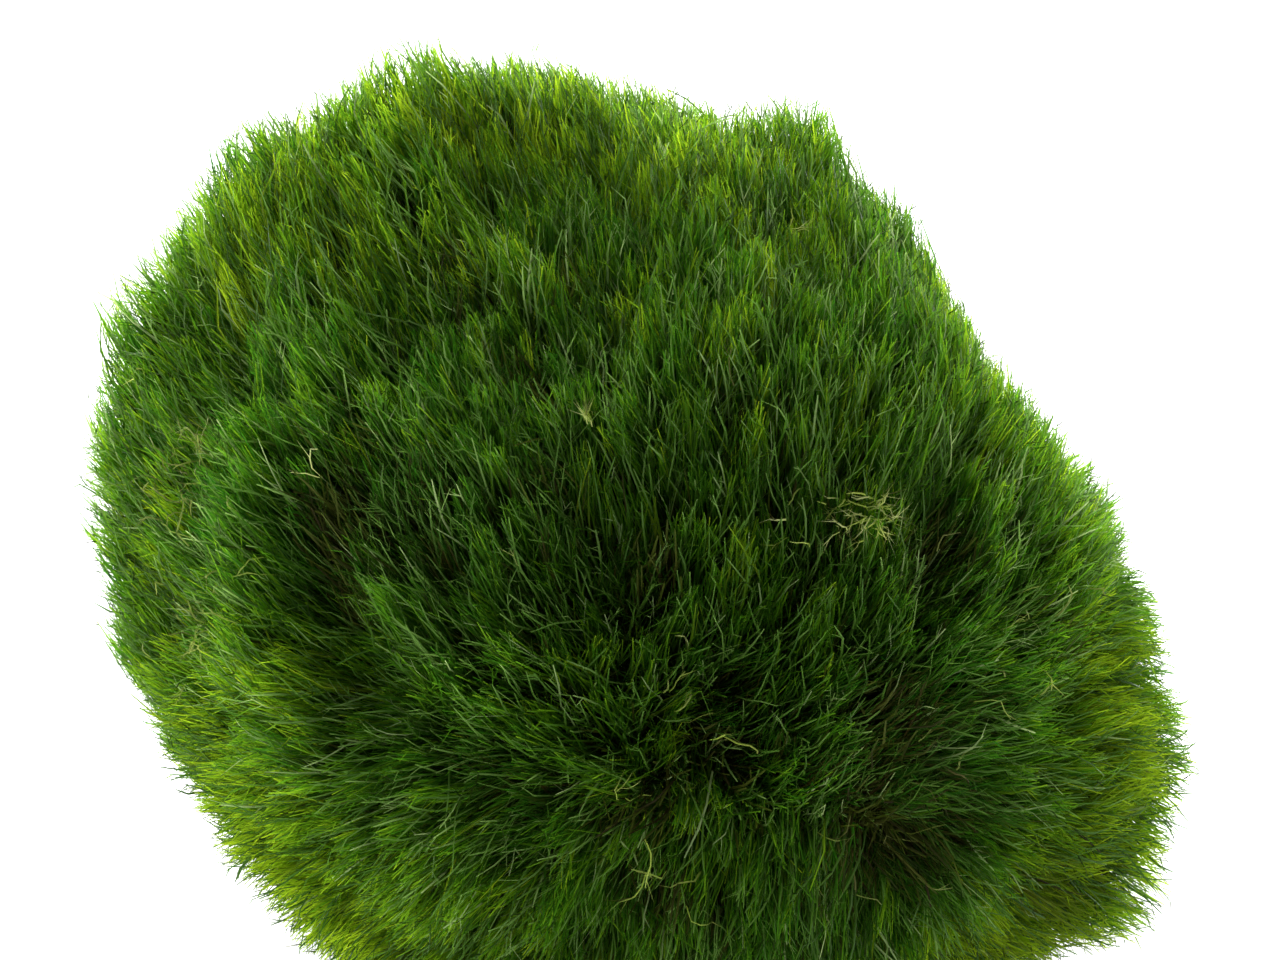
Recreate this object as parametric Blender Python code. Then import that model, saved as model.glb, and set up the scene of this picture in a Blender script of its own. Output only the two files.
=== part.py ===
"""A marimo moss ball: one ball of green alga, resting on a small flat spot.

The ball grew as one piece, so it is one solid. Its surface is where the tips of
the filaments end: a rounded body with broad swellings and hollows, all covered in
short locks of filaments that lean away from one whorl low on the front.

Metres, +Z up. The front looks along -Y. The origin is the middle of the bounding
box, at the level of the flat spot that the ball rests on.
"""

import math
import random

import bmesh
import bpy
from mathutils import Matrix, Vector, kdtree, noise

MM = 0.001

# Driving dimensions
BODY_RADIUS = 23.1 * MM
FACE_TILT = math.radians(20)  # the fullest side looks forward and this much up
REST_DEPTH = 1.2 * MM  # how far the ball has settled onto its flat spot
SURFACE_POINTS = 4800

# Broad forms, as (clock, forward, height, spread). Clock is in degrees round the
# fullest side, from the top and clockwise. Forward is in degrees from the ball's rim
# towards the viewer, and negative behind the rim. Height is in millimetres and spread
# in degrees.
SWELLINGS = (
    (334, 6, 5.0, 21),  # crown, upper left
    (316, 3, 1.3, 13),
    (299, -2, 3.6, 19),  # left shoulder
    (277, 8, 0.9, 11),
    (21, 0, 2.1, 10),  # corner at the upper right
    (114, 2, 3.7, 19),  # heel, lower right
    (150, -8, 1.4, 19),
    (262, 42, 1.5, 11),  # ridge down the left side
    (290, 40, 1.3, 10),
    (166, 60, 1.6, 17),  # round the whorl
    (20, 55, 1.2, 15),
    (96, 48, 1.0, 12),
    (215, 30, 1.0, 14),
    (30, -45, 2.4, 24),  # back of the crown
    (180, -20, 0.9, 22),  # what it rests on
    (212, -50, 1.6, 20),
    (300, -58, 1.4, 20),
    (110, -50, 1.9, 18),
)
HOLLOWS = (
    (52, 0, 3.9, 22),  # flat side, upper right
    (229, -2, 3.6, 29),  # flat side, lower left
    (247, 0, 0.9, 10),
    (6, 8, 0.7, 8),  # dip between the crown and the corner
    (276, 52, 2.4, 7),  # gully behind the left ridge
    (258, 57, 2.0, 6),
    (330, 46, 1.5, 8),  # partings above the middle
    (352, 52, 1.6, 7),
    (8, 82, 1.8, 9),
    (76, 52, 1.8, 8),
    (131, 48, 2.2, 9),
    (150, 78, 1.2, 6),  # the whorl's eye
    (70, -40, 1.8, 14),
    (250, -52, 2.0, 13),
    (150, -60, 1.4, 14),
    (340, -30, 1.2, 11),
)

# Rolling unevenness between the broad forms
ROLL_HEIGHT = 0.55 * MM
ROLLS_PER_RADIUS = 2.6

# Locks of filaments, each lying along its length and rising to a tip at its far end
LOCK_COUNT = 230
LOCK_HEIGHT = 2.3 * MM
LOCK_SCATTER = 0.28  # how unevenly the locks stand, as a share of their spacing
LOCK_LENGTH = 0.9  # half a lock's length, as a share of their spacing
LOCK_WIDTH = 0.5  # half a lock's width, in the same measure
LOCK_LEAN = 0.7  # 0 is an upright knob, 1 is a lock that rises along all its length
WHORL = (166, 68)  # clock and forward of the point that the locks lean away from
UPRIGHT_WITHIN = math.radians(35)  # locks this near the whorl stand more upright
MATTED_WITHIN = math.radians(27)  # locks this near the flat spot's middle are matted
NEIGHBOURS = 9
SEED = 7

MOSS_GREEN = (0.055, 0.15, 0.012, 1.0)
GOLDEN_ANGLE = math.pi * (3 - math.sqrt(5))
DOWN = Vector((0, 0, -1))


def clear_scene():
    for thing in list(bpy.data.objects):
        bpy.data.objects.remove(thing, do_unlink=True)


def moss_material():
    material = bpy.data.materials.new("moss")
    material.use_nodes = True
    shader = material.node_tree.nodes["Principled BSDF"]
    shader.inputs["Base Color"].default_value = MOSS_GREEN
    shader.inputs["Roughness"].default_value = 0.85
    shader.inputs["Metallic"].default_value = 0.0
    return material


def on_face(clock, forward):
    """The direction of a place on the ball, from degrees round and in front of its rim."""
    clock, forward = math.radians(clock), math.radians(forward)
    level = Vector(
        (
            math.sin(clock) * math.cos(forward),
            -math.sin(forward),
            math.cos(clock) * math.cos(forward),
        )
    )
    return Matrix.Rotation(-FACE_TILT, 3, "X") @ level


def golden_spiral(count):
    """Evenly spread directions, one golden angle of turn apart."""
    for i in range(count):
        height = 1 - (2 * i + 1) / count
        across = math.sqrt(1 - height * height)
        turn = i * GOLDEN_ANGLE
        yield Vector((across * math.cos(turn), across * math.sin(turn), height))


def broad_form(direction, forms):
    """The height that swellings or hollows add up to in this direction."""
    total = 0.0
    for place, height, spread in forms:
        total += height * math.exp(-((direction.angle(place) / spread) ** 2))
    return total


def in_metres(forms):
    return [
        (on_face(clock, forward), height * MM, math.radians(spread))
        for clock, forward, height, spread in forms
    ]


class Locks:
    """The short leaning locks that cover the ball."""

    def __init__(self):
        draw = random.Random(SEED)
        self.spacing = math.sqrt(4 * math.pi / LOCK_COUNT)
        self.whorl = on_face(*WHORL)
        self.heights = []
        self.tree = kdtree.KDTree(LOCK_COUNT)
        scatter = LOCK_SCATTER * self.spacing
        for i, place in enumerate(golden_spiral(LOCK_COUNT)):
            shift = Vector([draw.gauss(0, scatter) for _ in range(3)])
            self.tree.insert((place + shift).normalized(), i)
            self.heights.append(LOCK_HEIGHT * draw.uniform(0.5, 1.0))
        self.tree.balance()

    def height(self, direction):
        """The height of the lock that covers this direction, which rises to its tip."""
        from_whorl = direction.angle(self.whorl)
        away = (direction * direction.dot(self.whorl) - self.whorl).normalized()
        lean = LOCK_LEAN * min(1.0, from_whorl / UPRIGHT_WITHIN)
        best = 0.0
        for root, index, _ in self.tree.find_n(direction, NEIGHBOURS):
            offset = (direction - root) / self.spacing
            along = offset.dot(away)
            aside = (offset - away * along).length
            edge = (along / LOCK_LENGTH) ** 2 + (aside / LOCK_WIDTH) ** 2
            if edge < 1:
                slope = 0.5 + 0.5 * along / LOCK_LENGTH
                rise = (1 - lean) * (1 - edge) + lean * slope * (1 - edge**3)
                best = max(best, self.heights[index] * rise)
        return best * min(1.0, (direction.angle(DOWN) / MATTED_WITHIN) ** 2)


def ball_mesh():
    """The ball's surface, as a closed net of triangles round its middle."""
    swellings, hollows, locks = in_metres(SWELLINGS), in_metres(HOLLOWS), Locks()
    net = bmesh.new()
    for direction in golden_spiral(SURFACE_POINTS):
        net.verts.new(direction)
    bmesh.ops.convex_hull(net, input=net.verts)
    for vert in net.verts:
        direction = vert.co.normalized()
        reach = BODY_RADIUS + broad_form(direction, swellings)
        reach -= broad_form(direction, hollows)
        reach += ROLL_HEIGHT * noise.noise(direction * ROLLS_PER_RADIUS)
        reach += locks.height(direction)
        vert.co = direction * reach
    bmesh.ops.recalc_face_normals(net, faces=net.faces)
    return net


def flatten_rest(net):
    """Cuts the flat spot and moves the ball so that it rests at height zero."""
    lowest = min(vert.co.z for vert in net.verts)
    level = Vector((0, 0, lowest + REST_DEPTH))
    everything = net.verts[:] + net.edges[:] + net.faces[:]
    cut = bmesh.ops.bisect_plane(
        net, geom=everything, plane_co=level, plane_no=DOWN, clear_outer=True
    )
    rim = [item for item in cut["geom_cut"] if isinstance(item, bmesh.types.BMEdge)]
    bmesh.ops.edgenet_fill(net, edges=rim)
    xs = [vert.co.x for vert in net.verts]
    ys = [vert.co.y for vert in net.verts]
    middle = Vector(((min(xs) + max(xs)) / 2, (min(ys) + max(ys)) / 2, level.z))
    bmesh.ops.translate(net, verts=net.verts, vec=-middle)
    bmesh.ops.recalc_face_normals(net, faces=net.faces)


def make_moss_ball():
    net = ball_mesh()
    flatten_rest(net)
    mesh = bpy.data.meshes.new("moss_ball")
    net.to_mesh(mesh)
    net.free()
    mesh.shade_smooth()
    mesh.set_sharp_from_angle(angle=math.radians(60))
    mesh.materials.append(moss_material())
    ball = bpy.data.objects.new("moss_ball", mesh)
    bpy.context.scene.collection.objects.link(ball)
    return ball


clear_scene()
make_moss_ball()
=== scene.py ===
"""A marimo moss ball: a dense ball of green filaments, resting on a small flat spot."""

import math

import bpy
import numpy as np
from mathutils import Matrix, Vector
from mathutils.bvhtree import BVHTree


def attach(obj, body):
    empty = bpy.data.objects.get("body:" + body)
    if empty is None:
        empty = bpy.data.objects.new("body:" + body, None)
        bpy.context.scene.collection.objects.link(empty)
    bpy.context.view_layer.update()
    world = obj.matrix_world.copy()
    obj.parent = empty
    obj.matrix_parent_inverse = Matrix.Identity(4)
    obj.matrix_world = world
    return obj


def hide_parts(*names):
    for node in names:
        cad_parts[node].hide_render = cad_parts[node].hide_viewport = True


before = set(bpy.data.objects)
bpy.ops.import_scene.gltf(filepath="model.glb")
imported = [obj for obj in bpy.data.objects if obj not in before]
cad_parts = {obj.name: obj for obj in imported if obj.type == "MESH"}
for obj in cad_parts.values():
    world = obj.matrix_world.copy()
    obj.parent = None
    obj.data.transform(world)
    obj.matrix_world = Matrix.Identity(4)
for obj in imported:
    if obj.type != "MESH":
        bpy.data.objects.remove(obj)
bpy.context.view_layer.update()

# The ball's form
# One lump of alga, lopsided and lumpy, and pressed flat where it rests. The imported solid
# is where the filaments' tips end, so it says how far the ball reaches each way.

MM = 0.001
MIDDLE_HEIGHT = 23.6 * MM
MAP_ROWS = 181
MAP_COLUMNS = 360

middle = np.array([0.0, 0.0, MIDDLE_HEIGHT])


def measure_reach():
    """The solid's reach from its middle, on a net of directions about a degree apart."""
    form = bpy.data.objects["moss_ball"]
    surface = BVHTree.FromObject(form, bpy.context.evaluated_depsgraph_get())
    fall, turn = np.meshgrid(
        np.linspace(0, math.pi, MAP_ROWS),
        np.linspace(0, 2 * math.pi, MAP_COLUMNS, endpoint=False),
        indexing="ij",
    )
    rays = np.stack([np.sin(fall) * np.cos(turn), np.sin(fall) * np.sin(turn), np.cos(fall)], axis=2)
    start = Vector(middle)
    reaches = [surface.ray_cast(start, Vector(ray))[3] for ray in rays.reshape(-1, 3)]
    return np.array(reaches).reshape(MAP_ROWS, MAP_COLUMNS)


reach_map = measure_reach()


def reach(directions):
    """How far the solid reaches from its middle in each of these directions."""
    fall = np.arccos(np.clip(directions[..., 2], -1, 1)) / math.pi * (MAP_ROWS - 1)
    turn = np.arctan2(directions[..., 1], directions[..., 0]) / (2 * math.pi) * MAP_COLUMNS
    row = np.minimum(fall.astype(int), MAP_ROWS - 2)
    column = np.floor(turn).astype(int)
    down = fall - row
    across = turn - column
    column, after = column % MAP_COLUMNS, (column + 1) % MAP_COLUMNS
    upper = reach_map[row, column] * (1 - across) + reach_map[row, after] * across
    lower = reach_map[row + 1, column] * (1 - across) + reach_map[row + 1, after] * across
    return (upper * (1 - down) + lower * down)[..., None]


# The felted heart, with painted shade
# The old matted middle of the ball, brownish but coloured nearly black as painted shade, which
# shows only as the darkness between the locks. It is a plain closed lump inside the coat.

FELT_DEPTH = 4.4 * MM
FELT_LEAST_HEIGHT = 0.6 * MM
FELT_ROWS = 40
FELT_COLUMNS = 80
FELT_GRAIN_SCALE = 900.0
# Painted shade: the felt's browns, darkened nearly to black
FELT_BROWNS_AND_SHADE = (
    (0.3, (0.008, 0.012, 0.003)),
    (0.55, (0.012, 0.022, 0.004)),
    (0.75, (0.030, 0.022, 0.008)),
)


class Wire:
    """A shader socket that Python's operators work on."""

    def __init__(self, tree, socket=None):
        self.tree = tree
        self.socket = socket

    def node(self, kind, settings, sockets, output=0):
        """Adds a node, with its settings made before its sockets are filled."""
        made = self.tree.nodes.new(kind)
        for name, value in settings.items():
            if name == "stops":
                while len(made.color_ramp.elements) < len(value):
                    made.color_ramp.elements.new(1.0)
                for stop, (place, colour) in zip(made.color_ramp.elements, value):
                    stop.position = place
                    stop.color = (*colour, 1.0)
            else:
                setattr(made, name, value)
        for name, value in sockets.items():
            if isinstance(value, Wire):
                self.tree.links.new(value.socket, made.inputs[name])
            else:
                made.inputs[name].default_value = value
        return Wire(self.tree, made.outputs[output] if made.outputs else None)

    def math(self, operation, a, b):
        return self.node("ShaderNodeMath", {"operation": operation}, {0: a, 1: b})

    def __add__(self, other):
        return self.math("ADD", self, other)

    def __sub__(self, other):
        return self.math("SUBTRACT", self, other)

    def __rsub__(self, other):
        return self.math("SUBTRACT", other, self)

    def __mul__(self, other):
        return self.math("MULTIPLY", self, other)

    __radd__ = __add__
    __rmul__ = __mul__


def new_finish(name):
    """An empty node material, and the wire that its nodes are added with."""
    finish = bpy.data.materials.new(name)
    finish.use_nodes = True
    finish.node_tree.nodes.clear()
    return finish, Wire(finish.node_tree)


def felt_and_shade_finish():
    finish, wire = new_finish("old_felt_and_shade")
    place = wire.node("ShaderNodeTexCoord", {}, {}, "Object")
    grain = wire.node(
        "ShaderNodeTexNoise", {}, {"Vector": place, "Scale": FELT_GRAIN_SCALE, "Detail": 4.0}, "Fac"
    )
    colour = wire.node("ShaderNodeValToRGB", {"stops": FELT_BROWNS_AND_SHADE}, {"Fac": grain})
    bump = wire.node("ShaderNodeBump", {}, {"Height": grain, "Distance": 0.3 * MM})
    felt = wire.node(
        "ShaderNodeBsdfPrincipled",
        {},
        {"Base Color": colour, "Roughness": 0.9, "Specular IOR Level": 0.2, "Normal": bump},
    )
    wire.node("ShaderNodeOutputMaterial", {}, {"Surface": felt})
    return finish


def felt_heart_and_shade():
    """A closed lump that keeps one depth below the filaments' tips."""
    fall = np.linspace(0, math.pi, FELT_ROWS + 1)[1:-1]
    turn = np.linspace(0, 2 * math.pi, FELT_COLUMNS, endpoint=False)
    fall, turn = np.meshgrid(fall, turn, indexing="ij")
    sides = np.stack([np.sin(fall) * np.cos(turn), np.sin(fall) * np.sin(turn), np.cos(fall)], axis=2)
    directions = np.concatenate([[[0.0, 0.0, 1.0]], sides.reshape(-1, 3), [[0.0, 0.0, -1.0]]])
    points = middle + directions * (reach(directions) - FELT_DEPTH)
    points[:, 2] = np.maximum(points[:, 2], FELT_LEAST_HEIGHT)
    last = len(points) - 1
    faces = []
    for j in range(FELT_COLUMNS):
        k = (j + 1) % FELT_COLUMNS
        faces.append((0, 1 + j, 1 + k))
        for i in range(FELT_ROWS - 2):
            upper, lower = 1 + i * FELT_COLUMNS, 1 + (i + 1) * FELT_COLUMNS
            faces.append((upper + j, lower + j, lower + k, upper + k))
        bottom = 1 + (FELT_ROWS - 2) * FELT_COLUMNS
        faces.append((bottom + j, last, bottom + k))
    mesh = bpy.data.meshes.new("felt_heart_and_shade")
    mesh.from_pydata(points.tolist(), [], faces)
    mesh.shade_smooth()
    mesh.materials.append(felt_and_shade_finish())
    heart = bpy.data.objects.new("felt_heart_and_shade", mesh)
    bpy.context.scene.collection.objects.link(heart)
    return heart


heart = felt_heart_and_shade()
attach(heart, "root")
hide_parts("moss_ball")

# The green coat
# Living filaments, a tenth of a millimetre thick, which cling together in small wet tufts.
# They grow from the middle of the ball and lie away from a parting on its front. Above it
# they are swept upward. The coat is thin in places. On the front it is paler and more lit
# through where its rim glows and darker in shaded hollows, as painted light and shade, and
# all round it is paler or darker at random in its own tone.

# The three ways of the photo, which looks down on the ball by this angle. Places on the
# front are given in millimetres to the right of the ball's middle and up from it.
VIEW_RISE = math.radians(20)
RIGHT = np.array([1.0, 0.0, 0.0])
UP = np.array([0.0, math.sin(VIEW_RISE), math.cos(VIEW_RISE)])
NEAR = np.array([0.0, -math.cos(VIEW_RISE), math.sin(VIEW_RISE)])
SHOWN_RADIUS = 24.5
MEAN_RADIUS = 24 * MM

# The lie of the filaments
PARTING = ((-0.2, -8.2), (11.5, -10.5))  # from here to there
PARTING_WIDTH = 0.06
ROOTS_BELOW = 8.0 * MM
COMBING = 0.45
COMBING_LOST_BEHIND = 0.3
FLATTENED = 0.9
FLATTENED_WITHIN = 0.45
SWEPT_UP = 1.1
SWEPT_WITH_HEIGHT = 1.6
SWEPT_AT_LEFT = 0.5
SWEPT_AT_MIDDLE = 0.5
SWEPT_ASIDE = 0.25
WANDERS = ((0.24, 15 * MM, 3), (0.16, 5 * MM, 4))  # as (strength, size, seed)
WAVES = 8
WAVE_SIZES = (0.7, 1.5)  # as shares of the size that is asked for

# Thin spots, as (right, up, size, share of the coat that is gone). Sizes are in
# millimetres. The far side has random ones.
THIN_SPOTS = (
    (-13.6, 7.5, 1.2, 0.6),
    (-13.9, 4.6, 1.1, 0.6),
    (-15.2, 5.2, 1.2, 0.75),
    (-15.0, 3.0, 1.2, 0.8),
    (-14.7, 0.8, 1.1, 0.6),
    (-9.3, 17.2, 0.8, 0.8),
    (-8.8, 15.4, 0.8, 0.8),
    (-6.9, 13.2, 0.8, 0.8),
    (-5.9, 11.8, 0.9, 0.8),
    (-5.0, 7.2, 0.9, 0.6),
    (-3.2, 16.6, 0.8, 0.7),
    (0.4, 3.0, 1.6, 0.6),
    (15.4, 3.6, 1.6, 0.7),
    (12.6, -5.2, 2.4, 0.5),
    (3.4, -7.2, 1.8, 0.45),
    (-0.6, -9.0, 1.8, 0.6),
    (0.8, -13.2, 1.2, 0.8),
    (5.4, -10.0, 1.2, 0.4),
    (11.0, -10.8, 2.4, 0.9),
    (13.6, -12.2, 2.0, 0.8),
)
FAR_THIN_SPOTS = 70  # these are spread all round, and the near ones left out
FAR_THIN_SIZES = (0.8, 2.0)
FAR_THIN_SHARES = (0.4, 0.9)
FAR_THIN_BEHIND = -0.2
THIN_PATCHES = 0.35
THIN_PATCH_SIZE = 8 * MM
THIN_PATCHES_ABOVE = 0.9

# Painted light and shade, as (right, up, size, amount): paler, more lit-through areas where
# the rim glows, and darker ones in shaded hollows. Sizes are shares of the ball's radius,
# and amounts are steps of tint, darker below 0. The far side has random paler and darker
# areas in the coat's own tone.
PAINTED_LIGHT_AND_SHADE = (
    (-15.0, 17.5, 0.20, 0.22),
    (-20.8, 6.5, 0.15, -0.26),
    (-20.8, 0.5, 0.15, -0.26),
    (-23.2, 2.0, 0.15, 0.28),
    (-21.0, -7.0, 0.30, 0.24),
    (-17.5, -14.0, 0.35, 0.50),
    (-12.0, -20.0, 0.30, 0.46),
    (-6.0, 23.0, 0.25, 0.34),
    (4.0, 22.5, 0.25, 0.20),
    (19.0, 13.0, 0.18, 0.30),
    (22.5, 2.0, 0.22, 0.20),
    (23.3, -4.5, 0.20, 0.32),
    (20.5, -12.5, 0.24, 0.52),
    (15.5, -18.0, 0.24, 0.60),
    (13.2, 14.5, 0.18, -0.22),
    (4.5, 9.5, 0.18, 0.12),
    (12.5, 7.0, 0.15, 0.06),
    (13.0, -3.0, 0.22, -0.20),
    (17.0, 3.5, 0.14, -0.25),
    (16.5, -6.5, 0.20, -0.32),
    (15.8, -11.5, 0.14, -0.22),
    (14.0, -15.0, 0.14, -0.20),
    (10.0, -13.0, 0.30, -0.20),
    (5.0, -3.0, 0.25, -0.06),
    (2.0, -6.5, 0.14, 0.16),
    (-1.0, -0.5, 0.14, 0.14),
    (-8.8, -4.5, 0.25, -0.18),
    (-9.0, 8.0, 0.25, -0.18),
    (-13.3, 7.0, 0.16, -0.20),
    (-16.9, 10.5, 0.16, -0.20),
    (-3.0, 15.0, 0.25, -0.05),
    (1.0, -18.0, 0.25, -0.10),
    (7.5, -15.5, 0.18, -0.20),
)
FAR_SHADES = 36  # these are spread all round, and the near ones left out
FAR_SHADE_SIZES = (0.2, 0.35)
FAR_SHADE_AMOUNTS = (-0.2, 0.35)
FAR_SHADES_BEHIND = -0.3

# Locks, which gather many tufts
LOCKS = 1900
LOCK_SCATTER = 0.03
LOCK_TURN = 0.14
LOCK_TINT = 0.10
LOCK_DROP = 0.45  # the most, in millimetres
GATHERING = 0.5
LOCK_ROUNDING = 1.2 * MM

# Tufts. Drops below the ball's surface are in millimetres.
TUFTS = 22000
TUFT_SCATTER = 0.012
TUFT_TURN = 0.10
TUFT_DROP = 0.9
TUFT_DROP_POWER = 1.6
THIN_DROP = 1.7
COAT_TINT = 0.51
TUFT_TINT = 0.14
TINT_SWELL = 0.12
TINT_SWELL_SIZE = 9 * MM
# Tufts set deeper, and those in thin spots, get a darker tint: painted shade in the hollows, and in
# thin spots also the brown of the parted coat.
TINT_LOST_BY_DROP = 0.06
TINT_LOST_BY_THINNESS = 0.42

# Filaments
TUFT_FILAMENTS = 6
FAN = 0.32 * MM
FAN_TURN = 0.2
FILAMENT_TURN = 0.15
UNRULY_TURN = 0.36
UNRULY_SHARE = 0.15
UNRULY_WHERE_THIN = 1.5
FILAMENT_DROP = 0.5  # in millimetres
FILAMENT_TINT = 0.12
FILAMENT_LENGTH = 5.9 * MM
FILAMENT_LENGTHS = (0.75, 1.2)  # as shares of that
FILAMENT_WIDTH = 0.1 * MM
WIDTHS = (0.7, 1.25)  # as shares of a filament's width
PROUD = 0.5 * MM
LEAST_RISE = 0.3
BEND = 0.4
FLOOR_GAPS = (0.02, 0.35)  # the least heights of points over the floor, in millimetres
FACING_SCATTER = 0.3
TWIST = 0.9
ROUNDING = 0.9
COAT_ALONG = (0.0, 0.6, 1.0)

# Side twigs
TWIGS_EACH = 0.5
TWIG_LENGTHS = (0.5, 1.2)  # in millimetres
TWIG_SPREAD = 0.7
TWIG_SCATTER = 0.7
TWIG_CHART = 0.2  # how much farther along the chart a twig's tip is than its foot

CHART_HALF = 0.004  # half a filament's width on the chart
CHART_ENDS = (0.001, 0.999)
SIDES = ("right", "back_right", "back_left", "left", "front")


def unit(vectors):
    return vectors / np.linalg.norm(vectors, axis=-1, keepdims=True)


def dot(a, b):
    return np.sum(a * b, axis=-1, keepdims=True)


def spread(count):
    """Directions spread evenly all round, one golden angle apart."""
    order = np.arange(count)
    height = 1 - (2 * order + 1) / count
    turn = order * math.pi * (3 - math.sqrt(5))
    across = np.sqrt(1 - height**2)
    return np.stack([across * np.cos(turn), across * np.sin(turn), height], axis=1)


def drift(places, size, seed):
    """A smooth random vector at each place, with swells of about this size."""
    waves = np.random.default_rng(seed)
    total = np.zeros_like(places)
    for _ in range(WAVES):
        heading = unit(waves.normal(size=3)) * 2 * math.pi / (size * waves.uniform(*WAVE_SIZES))
        phase = waves.uniform(0, 2 * math.pi)
        total += np.sin(places @ heading + phase)[..., None] * waves.normal(size=3)
    return total / math.sqrt(WAVES)


def on_front(right, up):
    """The direction from the middle of a place that shows this far from it in the photo."""
    across = np.array([right, up]) / SHOWN_RADIUS
    return across[0] * RIGHT + across[1] * UP + math.sqrt(1 - across @ across) * NEAR


def lay(places):
    """The way in which filaments at these places grow."""
    outward = unit(places - middle)
    near_end, far_end = (on_front(*spot) for spot in PARTING)
    run = far_end - near_end
    share = np.clip(dot(outward - near_end, run) / (run @ run), 0, 1)
    parting = unit(near_end + share * run)
    facing = dot(outward, parting)
    combed = outward * facing - parting
    away = np.linalg.norm(combed, axis=-1, keepdims=True)
    combed = combed / (away + PARTING_WIDTH)
    near = np.exp(-((away / FLATTENED_WITHIN) ** 2)) * (facing > 0)
    kept = 1 - COMBING_LOST_BEHIND + COMBING_LOST_BEHIND * facing
    lean = COMBING * kept + FLATTENED * near
    wander = sum(strength * drift(places, size, seed) for strength, size, seed in WANDERS)
    from_roots = unit(places - middle - parting * ROOTS_BELOW)
    height, side = (outward @ UP)[..., None], (outward @ RIGHT)[..., None]
    swept = np.clip(SWEPT_WITH_HEIGHT * height - SWEPT_AT_LEFT * side + SWEPT_AT_MIDDLE, 0, 1)
    sweep = SWEPT_UP * swept * (UP - SWEPT_ASIDE * RIGHT)
    return unit(from_roots + lean * combed + sweep + wander)


def thinness(directions):
    """How far the coat has parted here, from 0 to 1, which shows the brown below it."""
    swells = drift(directions * MEAN_RADIUS, THIN_PATCH_SIZE, 6)[..., 0]
    total = THIN_PATCHES * np.clip(swells - THIN_PATCHES_ABOVE, 0, 1)
    spots = [(on_front(right, up), size, share) for right, up, size, share in THIN_SPOTS]
    dice = np.random.default_rng(12)
    for direction in unit(dice.normal(size=(FAR_THIN_SPOTS, 3))):
        if direction @ NEAR < FAR_THIN_BEHIND:
            spots.append((direction, dice.uniform(*FAR_THIN_SIZES), dice.uniform(*FAR_THIN_SHARES)))
    for direction, size, share in spots:
        gap = np.arccos(np.clip(directions @ direction, -1, 1)) * MEAN_RADIUS / (size * MM)
        total = total + share * np.exp(-(gap**2))
    return np.clip(total, 0, 1)


def shade(directions):
    """How much paler the coat is here, or darker below 0: painted light and shade on the front,
    and random areas of its own tone on the far side.
    """
    spots = [(on_front(right, up), size, amount) for right, up, size, amount in PAINTED_LIGHT_AND_SHADE]
    dice = np.random.default_rng(14)
    for direction in unit(dice.normal(size=(FAR_SHADES, 3))):
        if direction @ NEAR < FAR_SHADES_BEHIND:
            size, amount = dice.uniform(*FAR_SHADE_SIZES), dice.uniform(*FAR_SHADE_AMOUNTS)
            spots.append((direction, size, amount))
    total = 0.0
    for direction, size, amount in spots:
        gap = ((directions - direction) ** 2).sum(axis=-1)
        total = total + amount * np.exp(-gap / size**2)
    return total


def grow(tips, ways, lengths, along, kinks, dice):
    """Paths from root to tip that start outward and bend over to their own way."""
    outward = unit(tips - middle)
    ways = unit(ways + outward * np.maximum(LEAST_RISE - dot(ways, outward), 0))
    tips = middle + outward * np.minimum(dot(tips - middle, outward), reach(outward) + PROUD)
    left = (1 - np.array(along))[None, :, None]
    lean = outward[:, None] - ways[:, None]
    back = left * ways[:, None] + BEND * left**2 * lean
    paths = tips[:, None] - lengths[:, None, None] * back
    bends = dice.normal(size=paths.shape) * kinks
    bends[:, 0] = 0
    paths = paths + bends
    paths[..., 2] = np.maximum(paths[..., 2], dice.uniform(*FLOOR_GAPS, paths.shape[:2]) * MM)
    return paths


def blades(paths, along, width, tip, tints, dice):
    """Narrow blades along these paths, and how each one faces. They taper to a share, tip."""
    count, points = paths.shape[:2]
    ways = unit(np.gradient(paths, axis=1))
    outward = unit(paths - middle) + FACING_SCATTER * dice.normal(size=(count, 1, 3))
    facing = unit(outward - ways * dot(outward, ways))
    side = np.cross(ways, facing)
    twist = dice.normal(0, TWIST, (count, 1, 1))
    side, facing = (
        side * np.cos(twist) + facing * np.sin(twist),
        facing * np.cos(twist) - side * np.sin(twist),
    )
    half = (width * dice.uniform(*WIDTHS, count))[:, None, None] / 2
    corners = 2 * points if tip else 2 * points - 1
    places = np.repeat(paths, 2, axis=1)[:, :corners]
    normals = np.repeat(facing, 2, axis=1)[:, :corners]
    hands = np.resize([-1.0, 1.0], 2 * points)
    hands[-2:] *= tip
    hands = hands[None, :corners, None]
    sideways = np.repeat(side, 2, axis=1)[:, :corners] * hands
    chart = np.empty((count, corners, 2))
    chart[..., 0] = np.repeat(along, 2)[:corners]
    chart[..., 1] = tints[:, None] + CHART_HALF * hands[..., 0]
    faces = [[2 * j, 2 * j + 1, 2 * j + 3, 2 * j + 2] for j in range(points - 1)]
    if not tip:
        faces[-1].remove(corners)
    starts = np.arange(count)[:, None] * corners
    return {
        "points": (places + sideways * half).reshape(-1, 3),
        "normals": unit(normals + ROUNDING * sideways).reshape(-1, 3),
        "chart": chart.reshape(-1, 2),
        "loops": (starts + np.concatenate(faces)).reshape(-1),
        "sizes": np.tile([len(face) for face in faces], count),
        "ways": ways,
        "facing": facing,
        "side": side,
    }


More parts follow.
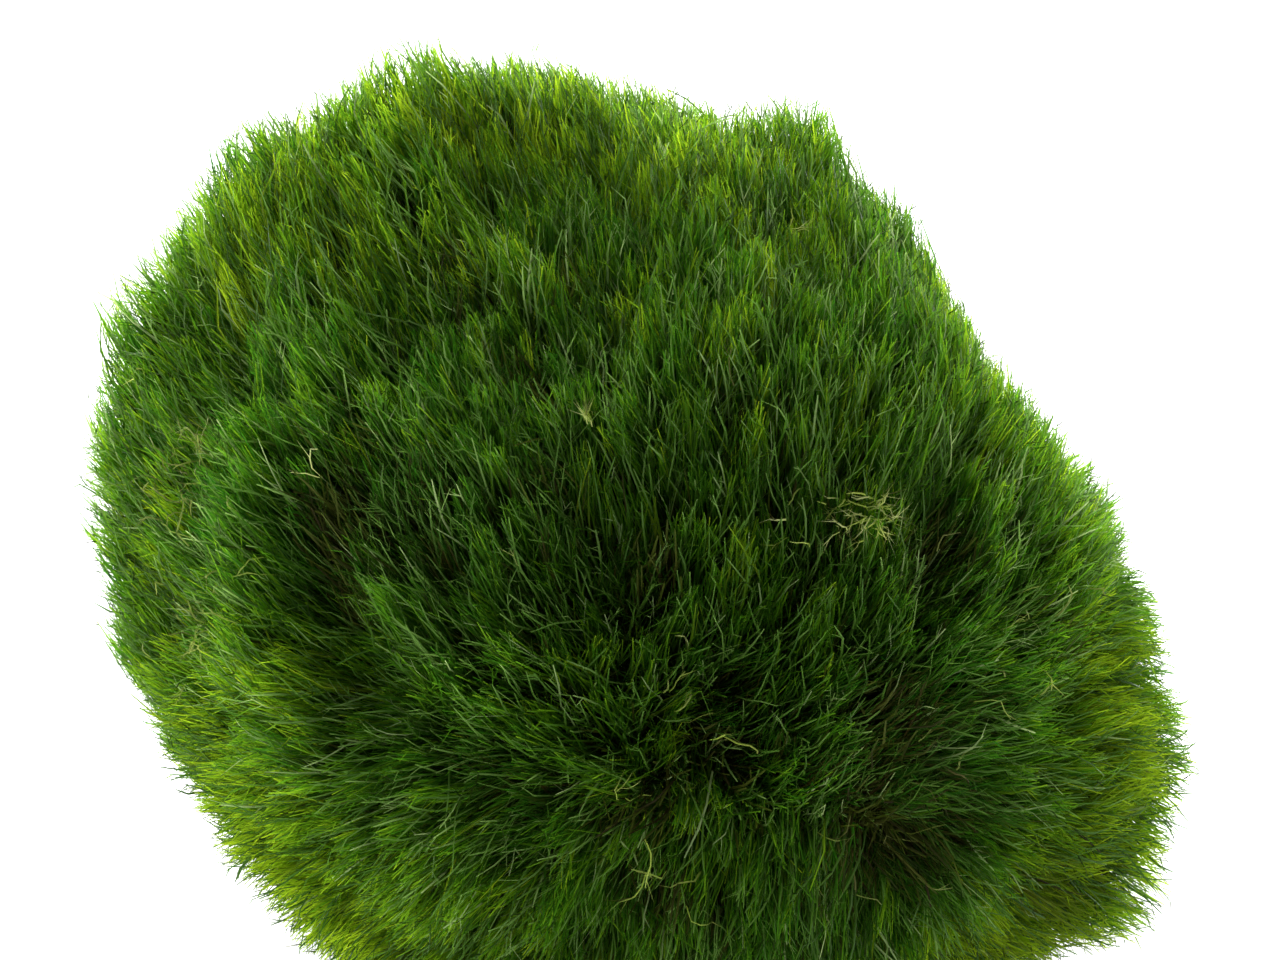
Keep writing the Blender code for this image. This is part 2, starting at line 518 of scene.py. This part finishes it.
def twigs(paths, along, width, tints, grown, own, dice):
    """Short side twigs on the outer half of the filaments numbered own, one triangle each."""
    where = dice.integers((len(along) - 1) // 2, len(along) - 1, len(own))
    spot = paths[own, where]
    share = dice.uniform(0, 1, (len(own), 1))
    spot = spot + (paths[own, where + 1] - spot) * share
    way = grown["ways"][own, where]
    hand = dice.choice([-1.0, 1.0], (len(own), 1))
    aside = unit(grown["side"][own, where] * hand + TWIG_SCATTER * dice.normal(size=way.shape))
    length = dice.uniform(*TWIG_LENGTHS, (len(own), 1)) * MM
    foot = way * (0.5 * width)
    tip = spot + unit(way + TWIG_SPREAD * aside) * length
    points = np.stack([spot - foot, spot + foot, tip], axis=1)
    points[..., 2] = np.maximum(points[..., 2], FLOOR_GAPS[0] * MM)
    begin = np.array(along)[where]
    begin = begin + (np.array(along)[where + 1] - begin) * share[:, 0]
    chart = np.empty((len(own), 3, 2))
    chart[..., 0] = np.stack([begin, begin, np.minimum(begin + TWIG_CHART, 1)], axis=1)
    chart[..., 1] = tints[own][:, None] + np.array([-CHART_HALF, CHART_HALF, 0.0])
    return {
        "points": points.reshape(-1, 3),
        "normals": np.repeat(grown["facing"][own, where], 3, axis=0),
        "chart": chart.reshape(-1, 2),
        "loops": np.arange(3 * len(own)),
        "sizes": np.full(len(own), 3),
    }


def join(name, parts, finish):
    """One piece from blades and twigs, mapped along each filament and across the tints."""
    offsets = np.cumsum([0] + [len(part["points"]) for part in parts])
    loops = np.concatenate([part["loops"] + offset for part, offset in zip(parts, offsets)])
    sizes = np.concatenate([part["sizes"] for part in parts])
    points = np.concatenate([part["points"] for part in parts])
    points[:, 2] = np.maximum(points[:, 2], 0.0)
    normals = np.concatenate([part["normals"] for part in parts])
    chart = np.clip(np.concatenate([part["chart"] for part in parts]), *CHART_ENDS)
    mesh = bpy.data.meshes.new(name)
    mesh.vertices.add(len(points))
    mesh.vertices.foreach_set("co", points.astype(np.float32).reshape(-1))
    mesh.loops.add(len(loops))
    mesh.loops.foreach_set("vertex_index", loops.astype(np.int32))
    mesh.polygons.add(len(sizes))
    mesh.polygons.foreach_set("loop_start", (np.cumsum(sizes) - sizes).astype(np.int32))
    corner_chart = chart[loops].astype(np.float32).reshape(-1)
    mesh.uv_layers.new(name="OFBake").data.foreach_set("uv", corner_chart)
    mesh.update(calc_edges=True)
    mesh.normals_split_custom_set_from_vertices(normals.tolist())
    mesh.materials.append(finish)
    piece = bpy.data.objects.new(name, mesh)
    bpy.context.scene.collection.objects.link(piece)
    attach(piece, "root")
    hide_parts("moss_ball")


CLEAR_AT_DARKEST = 0.35
CLEAR_BY_TINT = 1.25


def filament_finish(name, hues, root_shade, glows, share, roughness, gloss):
    """Thin filaments: darkened toward the root as painted shade deep in the coat, their own
    hue at the tip, and lit through.

    Light comes through the darkest ones in the first glow, and the palest in the second.
    """
    finish, wire = new_finish(name)
    chart = wire.node("ShaderNodeUVMap", {"uv_map": "OFBake"}, {})
    along = wire.node("ShaderNodeSeparateXYZ", {}, {"Vector": chart}, "X")
    tint = wire.node("ShaderNodeSeparateXYZ", {}, {"Vector": chart}, "Y")
    hue = wire.node("ShaderNodeValToRGB", {"stops": hues}, {"Fac": tint})
    # Painted shade: each filament darkens toward its root, as if shaded deep in the coat
    age = along * along
    colour = wire.node(
        "ShaderNodeMix",
        {"data_type": "RGBA", "blend_type": "MULTIPLY"},
        {0: 1.0 - age, 6: hue, 7: (*root_shade, 1.0)},
        2,
    )
    skin = wire.node(
        "ShaderNodeBsdfPrincipled",
        {},
        {"Base Color": colour, "Roughness": roughness, "Specular IOR Level": gloss},
    )
    deep, pale = (
        wire.node("ShaderNodeBsdfTranslucent", {}, {"Color": (*glow, 1.0)}) for glow in glows
    )
    through = wire.node("ShaderNodeMixShader", {}, {0: tint, 1: deep, 2: pale})
    clear = share * along * (CLEAR_AT_DARKEST + CLEAR_BY_TINT * tint)
    blend = wire.node("ShaderNodeMixShader", {}, {0: clear, 1: skin, 2: through})
    wire.node("ShaderNodeOutputMaterial", {}, {"Surface": blend})
    return finish


# Painted shade: how much of the hue is left at the root
ROOT_GREEN = (0.5, 0.46, 0.4)
GREEN_GLOWS = ((0.10, 0.82, 0.04), (0.66, 0.93, 0.03))
GREENS = (
    (0.0, (0.040, 0.026, 0.006)),
    (0.15, (0.020, 0.034, 0.004)),
    (0.4, (0.018, 0.052, 0.004)),
    (0.7, (0.050, 0.115, 0.006)),
    (1.0, (0.170, 0.235, 0.022)),
)


def green_coat():
    dice = np.random.default_rng(21)
    finish = filament_finish(
        "living_green", GREENS, ROOT_GREEN, GREEN_GLOWS, share=0.5, roughness=0.3, gloss=0.05
    )
    seeds = unit(spread(TUFTS) + dice.normal(0, TUFT_SCATTER, (TUFTS, 3)))
    locks = unit(spread(LOCKS) + dice.normal(0, LOCK_SCATTER, (LOCKS, 3)))
    lock = np.argmax(seeds.astype(np.float32) @ locks.T.astype(np.float32), axis=1)
    lock_ways = LOCK_TURN * dice.normal(size=(LOCKS, 3))
    lock_tints = LOCK_TINT * dice.normal(size=LOCKS)
    lock_drops = dice.uniform(0, LOCK_DROP, (LOCKS, 1))
    thin = thinness(seeds)[:, None]
    drop = TUFT_DROP * dice.uniform(0, 1, (TUFTS, 1)) ** TUFT_DROP_POWER
    drop = (drop + lock_drops[lock] + THIN_DROP * thin) * MM
    tuft_tips = middle + seeds * (reach(seeds) + PROUD - drop)
    tuft_ways = unit(lay(tuft_tips) + lock_ways[lock] + TUFT_TURN * dice.normal(size=(TUFTS, 3)))
    gather = GATHERING * MEAN_RADIUS * (locks[lock] - seeds)
    tuft_tips += gather - seeds * dot(gather, gather) / LOCK_ROUNDING
    tuft_ways = unit(tuft_ways * FILAMENT_LENGTH + gather)
    tuft_tints = COAT_TINT + TUFT_TINT * dice.normal(size=TUFTS)
    tuft_tints += TINT_SWELL * drift(tuft_tips, TINT_SWELL_SIZE, 8)[:, 0]
    # Painted shade in the hollows: tufts set deeper are darker, and so are those in thin spots
    tuft_tints += lock_tints[lock] - TINT_LOST_BY_DROP * drop[:, 0] / MM
    # Painted light and shade: paler, more lit-through tints where the rim glows, darker in hollows
    tuft_tints += shade(seeds) - TINT_LOST_BY_THINNESS * thin[:, 0]
    turn = np.degrees(np.arctan2(seeds[:, 1], seeds[:, 0])) % 360
    span = 360 // len(SIDES)
    side_of = ((turn + span / 2) // span).astype(int) % len(SIDES)
    for index, side in enumerate(SIDES):
        mine = np.repeat(np.flatnonzero(side_of == index), TUFT_FILAMENTS)
        count = len(mine)
        fan = FAN * dice.normal(size=(count, 3))
        unruly = dice.uniform(0, 1, (count, 1)) < UNRULY_SHARE
        loose = np.where(unruly, UNRULY_TURN, FILAMENT_TURN) * (1 + UNRULY_WHERE_THIN * thin[mine])
        depth = np.abs(dice.normal(0, FILAMENT_DROP, (count, 1))) * MM
        tips = tuft_tips[mine] + fan - seeds[mine] * depth
        ways = unit(tuft_ways[mine] + fan / MM * FAN_TURN + loose * dice.normal(size=(count, 3)))
        lengths = FILAMENT_LENGTH * dice.uniform(*FILAMENT_LENGTHS, count)
        paths = grow(tips, ways, lengths, COAT_ALONG, kinks=0.04 * MM, dice=dice)
        tints = np.clip(tuft_tints[mine] + FILAMENT_TINT * dice.normal(size=count), 0.01, 0.99)
        main = blades(paths, COAT_ALONG, FILAMENT_WIDTH, tip=0.4, tints=tints, dice=dice)
        own = dice.integers(0, count, int(TWIGS_EACH * count))
        side_twigs = twigs(paths, COAT_ALONG, FILAMENT_WIDTH, tints, main, own, dice)
        join(f"coat_{side}", [main, side_twigs], finish)


green_coat()

# Stray filaments
# Thinner single ones that stand out of the coat at odd angles, as thin pale lines. Their
# pale colour is partly their own and partly a painted highlight. They carry two side twigs
# each on average, and a few much paler ones are painted glints.

STRAYS = 21000
STRAY_SCATTER = 0.02
STRAY_DROP = 1.0  # drops and lengths are in millimetres
STRAY_THIN_DROP = 1.5
STRAY_TURN = 0.32
STRAY_LENGTHS = (3.0, 5.5)
STRAY_WIDTH = 0.085 * MM
STRAY_TWIGS_EACH = 2
STRAY_TINTS = (1.6, 2.6)  # the two numbers that shape a beta distribution
STRAY_TINT_LOST_IN_SHADES = 1.2
# Painted glints: the share of strays given a very pale tint, and that tint
PAINTED_GLINTS = 0.05
PAINTED_GLINT_TINT = 0.97
STRAY_ALONG = (0.0, 0.45, 0.75, 1.0)
# Painted shade: how much of the hue is left at the root
ROOT_PALE = (0.5, 0.5, 0.4)
PALE_GLOWS = ((0.35, 0.90, 0.06), (0.72, 0.94, 0.35))
# Pale greens, partly the strays' own colour and partly painted highlight
PALE_GREENS_AND_SHEEN = (
    (0.0, (0.040, 0.110, 0.010)),
    (0.5, (0.095, 0.210, 0.028)),
    (0.85, (0.200, 0.350, 0.090)),
    (1.0, (0.380, 0.500, 0.240)),
)


def stray_filaments():
    dice = np.random.default_rng(41)
    finish = filament_finish(
        "pale_green_and_sheen", PALE_GREENS_AND_SHEEN, ROOT_PALE, PALE_GLOWS, share=0.4, roughness=0.35, gloss=0.14
    )
    seeds = unit(spread(STRAYS) + dice.normal(0, STRAY_SCATTER, (STRAYS, 3)))
    drop = STRAY_DROP * dice.uniform(0, 1, (STRAYS, 1))
    drop = (drop + STRAY_THIN_DROP * thinness(seeds)[:, None]) * MM
    tips = middle + seeds * (reach(seeds) + PROUD - drop)
    ways = unit(lay(tips) + STRAY_TURN * dice.normal(size=(STRAYS, 3)))
    lengths = dice.uniform(*STRAY_LENGTHS, STRAYS) * MM
    paths = grow(tips, ways, lengths, STRAY_ALONG, kinks=0.06 * MM, dice=dice)
    # Strays are dimmer wherever the coat has painted light and shade, or a tone of its own
    tints = dice.beta(*STRAY_TINTS, STRAYS) * (1 - STRAY_TINT_LOST_IN_SHADES * np.abs(shade(seeds)))
    # Painted glints: a few strays get a very pale tint
    tints = np.where(dice.uniform(0, 1, STRAYS) < PAINTED_GLINTS, PAINTED_GLINT_TINT, tints)
    tints = np.clip(tints, 0.01, 0.99)
    main = blades(paths, STRAY_ALONG, STRAY_WIDTH, tip=0.5, tints=tints, dice=dice)
    own = dice.integers(0, STRAYS, STRAY_TWIGS_EACH * STRAYS)
    side_twigs = twigs(paths, STRAY_ALONG, STRAY_WIDTH, tints, main, own, dice)
    join("stray_filaments", [main, side_twigs], finish)


stray_filaments()

# The undercoat
# Older filaments deeper in, dark olive and brown, which fill the gaps between the tufts as
# short needles. Longer old ones stand among the green where the coat has parted.

UNDERCOAT = 28000
UNDERCOAT_SCATTER = 0.01
UNDERCOAT_DEPTHS = (0.8, 3.2)  # depths and lengths are in millimetres
UNDERCOAT_TURN = 0.4
UNDERCOAT_LENGTHS = (1.8, 3.4)
NEEDLE_WIDTH = 0.17 * MM
NEEDLE_ALONG = (0.0, 1.0)
UNDERCOAT_TINT = 0.9
BROWN_BY_THINNESS = 0.5
BROWN_BY_DEPTH = 0.12
BROWN_SWELL = 0.15
BROWN_SWELL_SIZE = 6 * MM
BROWN_SCATTER = 0.3
OLD_FILAMENTS = 3600
OLD_CHOICE = 40  # how many places are drawn for each, of which mostly the barest are kept
OLD_DEPTHS = (-0.2, 1.6)
OLD_TURN = 0.35
OLD_LENGTHS = (2.5, 4.5)
OLD_WIDTH = 0.12 * MM
OLD_TINTS = (0.6, 0.3)  # the mean, and the spread about it
# Painted shade: how much of the hue is left at the root
ROOT_BROWN = (0.6, 0.5, 0.4)
BROWN_GLOWS = ((0.11, 0.12, 0.02), (0.16, 0.26, 0.02))
BROWNS = (
    (0.0, (0.030, 0.024, 0.007)),
    (0.2, (0.027, 0.028, 0.006)),
    (0.5, (0.032, 0.046, 0.006)),
    (0.8, (0.080, 0.106, 0.014)),
    (1.0, (0.130, 0.165, 0.035)),
)


def undercoat():
    dice = np.random.default_rng(31)
    finish = filament_finish(
        "old_brown_green", BROWNS, ROOT_BROWN, BROWN_GLOWS, share=0.3, roughness=0.5, gloss=0.08
    )
    seeds = unit(spread(UNDERCOAT) + dice.normal(0, UNDERCOAT_SCATTER, (UNDERCOAT, 3)))
    depth = dice.uniform(*UNDERCOAT_DEPTHS, (UNDERCOAT, 1))
    tips = middle + seeds * (reach(seeds) - depth * MM)
    ways = unit(lay(tips) + UNDERCOAT_TURN * dice.normal(size=(UNDERCOAT, 3)))
    lengths = dice.uniform(*UNDERCOAT_LENGTHS, UNDERCOAT) * MM
    paths = grow(tips, ways, lengths, NEEDLE_ALONG, kinks=0.2 * MM, dice=dice)
    brown = BROWN_BY_THINNESS * thinness(seeds) + BROWN_BY_DEPTH * depth[:, 0]
    brown += BROWN_SWELL * drift(seeds * MEAN_RADIUS, BROWN_SWELL_SIZE, 9)[:, 0]
    brown += BROWN_SCATTER * dice.uniform(0, 1, UNDERCOAT)
    tints = np.clip(UNDERCOAT_TINT - brown, 0.02, 0.98)
    needles = blades(paths, NEEDLE_ALONG, NEEDLE_WIDTH, tip=0, tints=tints, dice=dice)
    places = unit(dice.normal(size=(OLD_CHOICE * OLD_FILAMENTS, 3)))
    bare = thinness(places)
    places = places[np.argsort(dice.uniform(0, 1, len(bare)) - bare)[:OLD_FILAMENTS]]
    depth = dice.uniform(*OLD_DEPTHS, (OLD_FILAMENTS, 1))
    tips = middle + places * (reach(places) - depth * MM)
    ways = unit(lay(tips) + OLD_TURN * dice.normal(size=tips.shape))
    lengths = dice.uniform(*OLD_LENGTHS, OLD_FILAMENTS) * MM
    paths = grow(tips, ways, lengths, COAT_ALONG, kinks=0.08 * MM, dice=dice)
    tints = np.clip(dice.normal(*OLD_TINTS, OLD_FILAMENTS), 0.02, 0.98)
    shown = blades(paths, COAT_ALONG, OLD_WIDTH, tip=0.5, tints=tints, dice=dice)
    join("undercoat", [needles, shown], finish)


undercoat()

# Dead filaments
# A few bleached straw-coloured ones, bent and brittle, which lie on the coat in tangles.
# A few more lie singly all round, a little lower in it.

# Tangles, as (right, up, scatter, count, clock, length, tint). The first three are in
# millimetres, as is length. Clock is their way, in degrees clockwise from up in the photo.
TANGLES = (
    (11.3, 4.8, 0.35, 16, 270, 2.2, 0.95),
    (10.4, 4.3, 0.5, 12, 240, 1.5, 0.9),
    (11.4, 4.9, 0.35, 12, 60, 1.0, 1.0),
    (11.2, 4.5, 0.35, 8, 150, 1.1, 0.9),
    (7.9, 3.7, 0.4, 3, 285, 1.6, 0.9),
    (-14.9, 6.3, 0.2, 2, 290, 2.2, 1.0),
    (-2.4, 8.9, 0.1, 14, 330, 0.5, 0.8),
    (-0.9, -8.0, 0.3, 4, 30, 1.6, 0.8),
    (3.4, -6.2, 0.3, 2, 65, 2.4, 0.9),
    (1.4, -4.6, 0.6, 4, 20, 2.0, 0.5),
    (11.0, -10.2, 2.0, 12, 100, 2.4, 0.3),
    (1.0, -12.0, 1.2, 6, 185, 2.4, 0.6),
    (7.6, 19.2, 0.3, 5, 60, 1.0, 0.7),
    (18.4, -0.6, 1.8, 9, 60, 2.0, 0.5),
    (-20.6, 7.2, 0.6, 22, 310, 1.6, 0.35),
    (-20.9, 4.6, 0.6, 14, 300, 1.8, 0.3),
    (-19.8, 1.8, 1.4, 12, 300, 2.2, 0.5),
    (-20.4, -1.6, 0.7, 12, 250, 2.0, 0.5),
)
TANGLES_WITHIN = 23.5  # in millimetres from the ball's middle
TANGLE_LENGTHS = (0.4, 1.1)  # as shares of a tangle's length
TANGLE_TINT = 0.15
SCATTERED = 70
SCATTERED_LENGTHS = (0.6, 2.0)  # in millimetres
SCATTERED_SUNK = 0.4  # in millimetres
STRAW_TURN = 0.35
STRAW_START_DEPTH = 0.6 * MM
STRAW_RISE = 0.4 * MM
STRAW_LEAST_HEIGHT = 0.1 * MM
STRAW_TWIGS_EACH = 2
# Painted shade: how much of the hue is left at the root
ROOT_STRAW = (0.85, 0.9, 0.6)
STRAW_GLOWS = ((0.55, 0.62, 0.15), (0.75, 0.82, 0.2))
STRAWS = (
    (0.0, (0.16, 0.14, 0.06)),
    (0.3, (0.22, 0.28, 0.07)),
    (0.7, (0.42, 0.58, 0.09)),
    (0.9, (0.66, 0.80, 0.18)),
    (1.0, (0.80, 0.84, 0.45)),
)
STRAW_ALONG = (0.0, 0.25, 0.5, 0.75, 1.0)
STRAW_WIDTH = 0.07 * MM


def dead_filaments():
    dice = np.random.default_rng(51)
    finish = filament_finish(
        "dead_straw", STRAWS, ROOT_STRAW, STRAW_GLOWS, share=0.4, roughness=0.5, gloss=0.2
    )
    starts, headings, lengths, tints = [], [], [], []
    for right, up, size, count, clock, length, tint in TANGLES:
        offsets = dice.normal(0, size, (count, 2)) + (right, up)
        apart = np.linalg.norm(offsets, axis=1, keepdims=True)
        offsets *= np.minimum(TANGLES_WITHIN / apart, 1)
        starts += [on_front(*offset) for offset in offsets]
        clock = math.radians(clock)
        headings += [math.sin(clock) * RIGHT + math.cos(clock) * UP] * count
        lengths += list(length * dice.uniform(*TANGLE_LENGTHS, count))
        tints += list(tint + dice.normal(0, TANGLE_TINT, count))
    rest = unit(dice.normal(size=(SCATTERED, 3)))
    starts = np.concatenate([starts, rest])
    headings = np.concatenate([headings, lay(middle + rest * MEAN_RADIUS)])
    lengths = np.concatenate([lengths, dice.uniform(*SCATTERED_LENGTHS, SCATTERED)])
    lengths = lengths[:, None] * MM
    tints = np.clip(np.concatenate([tints, dice.uniform(0, 1, SCATTERED)]), 0.02, 0.98)
    count = len(starts)
    tangled = np.arange(count) < count - SCATTERED
    sunk = np.where(tangled, 0.0, SCATTERED_SUNK)[:, None] * MM
    heading = unit(headings + STRAW_TURN * dice.normal(size=(count, 3)))
    points = [middle + starts * (reach(starts) - STRAW_START_DEPTH)]
    for _ in STRAW_ALONG[1:]:
        heading = unit(heading + STRAW_TURN * dice.normal(size=(count, 3)))
        place = points[-1] + heading * lengths / (len(STRAW_ALONG) - 1)
        outward = unit(place - middle)
        lowest = reach(outward) - sunk
        level = np.clip(dot(place - middle, outward), lowest, lowest + STRAW_RISE)
        points.append(middle + outward * level)
    paths = np.stack(points, axis=1)
    paths[..., 2] = np.maximum(paths[..., 2], STRAW_LEAST_HEIGHT)
    main = blades(paths, STRAW_ALONG, STRAW_WIDTH, tip=0.5, tints=tints, dice=dice)
    own = dice.integers(0, count, STRAW_TWIGS_EACH * count)
    side_twigs = twigs(paths, STRAW_ALONG, STRAW_WIDTH, tints, main, own, dice)
    join("dead_filaments", [main, side_twigs], finish)


dead_filaments()

# The studio
# A white floor, which is bright of itself, with a painted soft shadow under the ball and a
# little in front of it. Soft light comes from behind, from both sides and from above, and
# little from in front, so that the ball's rim is lit through and its middle stays deep.

PHOTO_WIDTH = 60.2 * MM
VIEW_DISTANCE = 350 * MM
VIEW_LIFT = 5.8 * MM
SENSOR_WIDTH = 36.0
NEAREST = 0.01
FLOOR_REACH = 3.0
FLOOR_GREY = (0.6, 0.6, 0.6, 1.0)
FLOOR_BRIGHTNESS = 1.5

# Painted shadows in the floor's glow, as (middle, reach, share of the light that is left
# in their middle)
PAINTED_SHADOWS = (
    ((0.0, -0.004, 0.0), 0.045, 0.05),
    ((0.004, -0.045, 0.0), 0.10, 0.45),
)

# Lamps, as (name, place, size, power), in metres and watts
LAMPS = (
    ("left", (-0.66, 0.34, 0.02), 0.25, 4.6),
    ("behind", (-0.1, 0.8, 0.13), 0.25, 7.5),
    ("right", (0.52, 0.56, 0.03), 0.25, 3.2),
    ("front_fill", (0.0, -0.8, 0.2), 0.8, 0.8),
    ("overhead", (-0.15, 0.36, 0.62), 0.3, 3.2),
)
SKY = 0.27
SKY_MORE_BEHIND = 0.20
SKY_LESS_AT_RIGHT = 0.05


def white_floor():
    mesh = bpy.data.meshes.new("floor")
    quarters = ((-1, -1), (1, -1), (1, 1), (-1, 1))
    corners = [(x * FLOOR_REACH, y * FLOOR_REACH, 0) for x, y in quarters]
    mesh.from_pydata(corners, [], [(0, 1, 2, 3)])
    finish, wire = new_finish("white_floor")
    place = wire.node("ShaderNodeTexCoord", {}, {}, "Object")
    # Painted shadow: the floor's glow is dimmed under the ball and in front of it
    shadow = 1.0
    for spot, reach_to, least in PAINTED_SHADOWS:
        apart = wire.node(
            "ShaderNodeVectorMath", {"operation": "DISTANCE"}, {0: place, 1: spot}, 1
        )
        part = wire.node(
            "ShaderNodeMapRange",
            {"clamp": True, "interpolation_type": "SMOOTHSTEP"},
            {"Value": apart, "From Min": 0.0, "From Max": reach_to, "To Min": least, "To Max": 1.0},
        )
        shadow = part * shadow
    board = wire.node(
        "ShaderNodeBsdfPrincipled",
        {},
        {
            "Base Color": FLOOR_GREY,
            "Roughness": 0.9,
            "Emission Color": shadow,
            "Emission Strength": FLOOR_BRIGHTNESS,
        },
    )
    wire.node("ShaderNodeOutputMaterial", {}, {"Surface": board})
    mesh.materials.append(finish)
    floor = bpy.data.objects.new("floor", mesh)
    bpy.context.scene.collection.objects.link(floor)


def soft_light(name, place, size, power):
    light = bpy.data.lights.new(name, "AREA")
    light.shape = "DISK"
    light.size = size
    light.energy = power
    lamp = bpy.data.objects.new(name, light)
    lamp.location = Vector(place)
    lamp.rotation_euler = (Vector(middle) - Vector(place)).to_track_quat("-Z", "Y").to_euler()
    bpy.context.scene.collection.objects.link(lamp)


def view_camera():
    camera = bpy.data.cameras.new("camera")
    camera.sensor_width = SENSOR_WIDTH
    camera.lens = SENSOR_WIDTH * VIEW_DISTANCE / PHOTO_WIDTH
    camera.clip_start = NEAREST
    eye = bpy.data.objects.new("camera", camera)
    target = middle + UP * VIEW_LIFT
    eye.location = Vector(target + NEAR * VIEW_DISTANCE)
    eye.rotation_euler = Vector(-NEAR).to_track_quat("-Z", "Y").to_euler()
    bpy.context.scene.collection.objects.link(eye)
    bpy.context.scene.camera = eye


def sky_light():
    world = bpy.data.worlds.new("studio")
    world.use_nodes = True
    world.node_tree.nodes.clear()
    wire = Wire(world.node_tree)
    around = wire.node("ShaderNodeTexCoord", {}, {}, "Generated")
    behind = wire.node("ShaderNodeSeparateXYZ", {}, {"Vector": around}, "Y")
    right = wire.node("ShaderNodeSeparateXYZ", {}, {"Vector": around}, "X")
    strength = SKY + SKY_MORE_BEHIND * behind - SKY_LESS_AT_RIGHT * right
    light = wire.node("ShaderNodeBackground", {}, {"Color": (1, 1, 1, 1), "Strength": strength})
    wire.node("ShaderNodeOutputWorld", {}, {"Surface": light})
    bpy.context.scene.world = world


white_floor()
view_camera()
sky_light()
for lamp in LAMPS:
    soft_light(*lamp)
bpy.context.scene.view_settings.view_transform = "Standard"
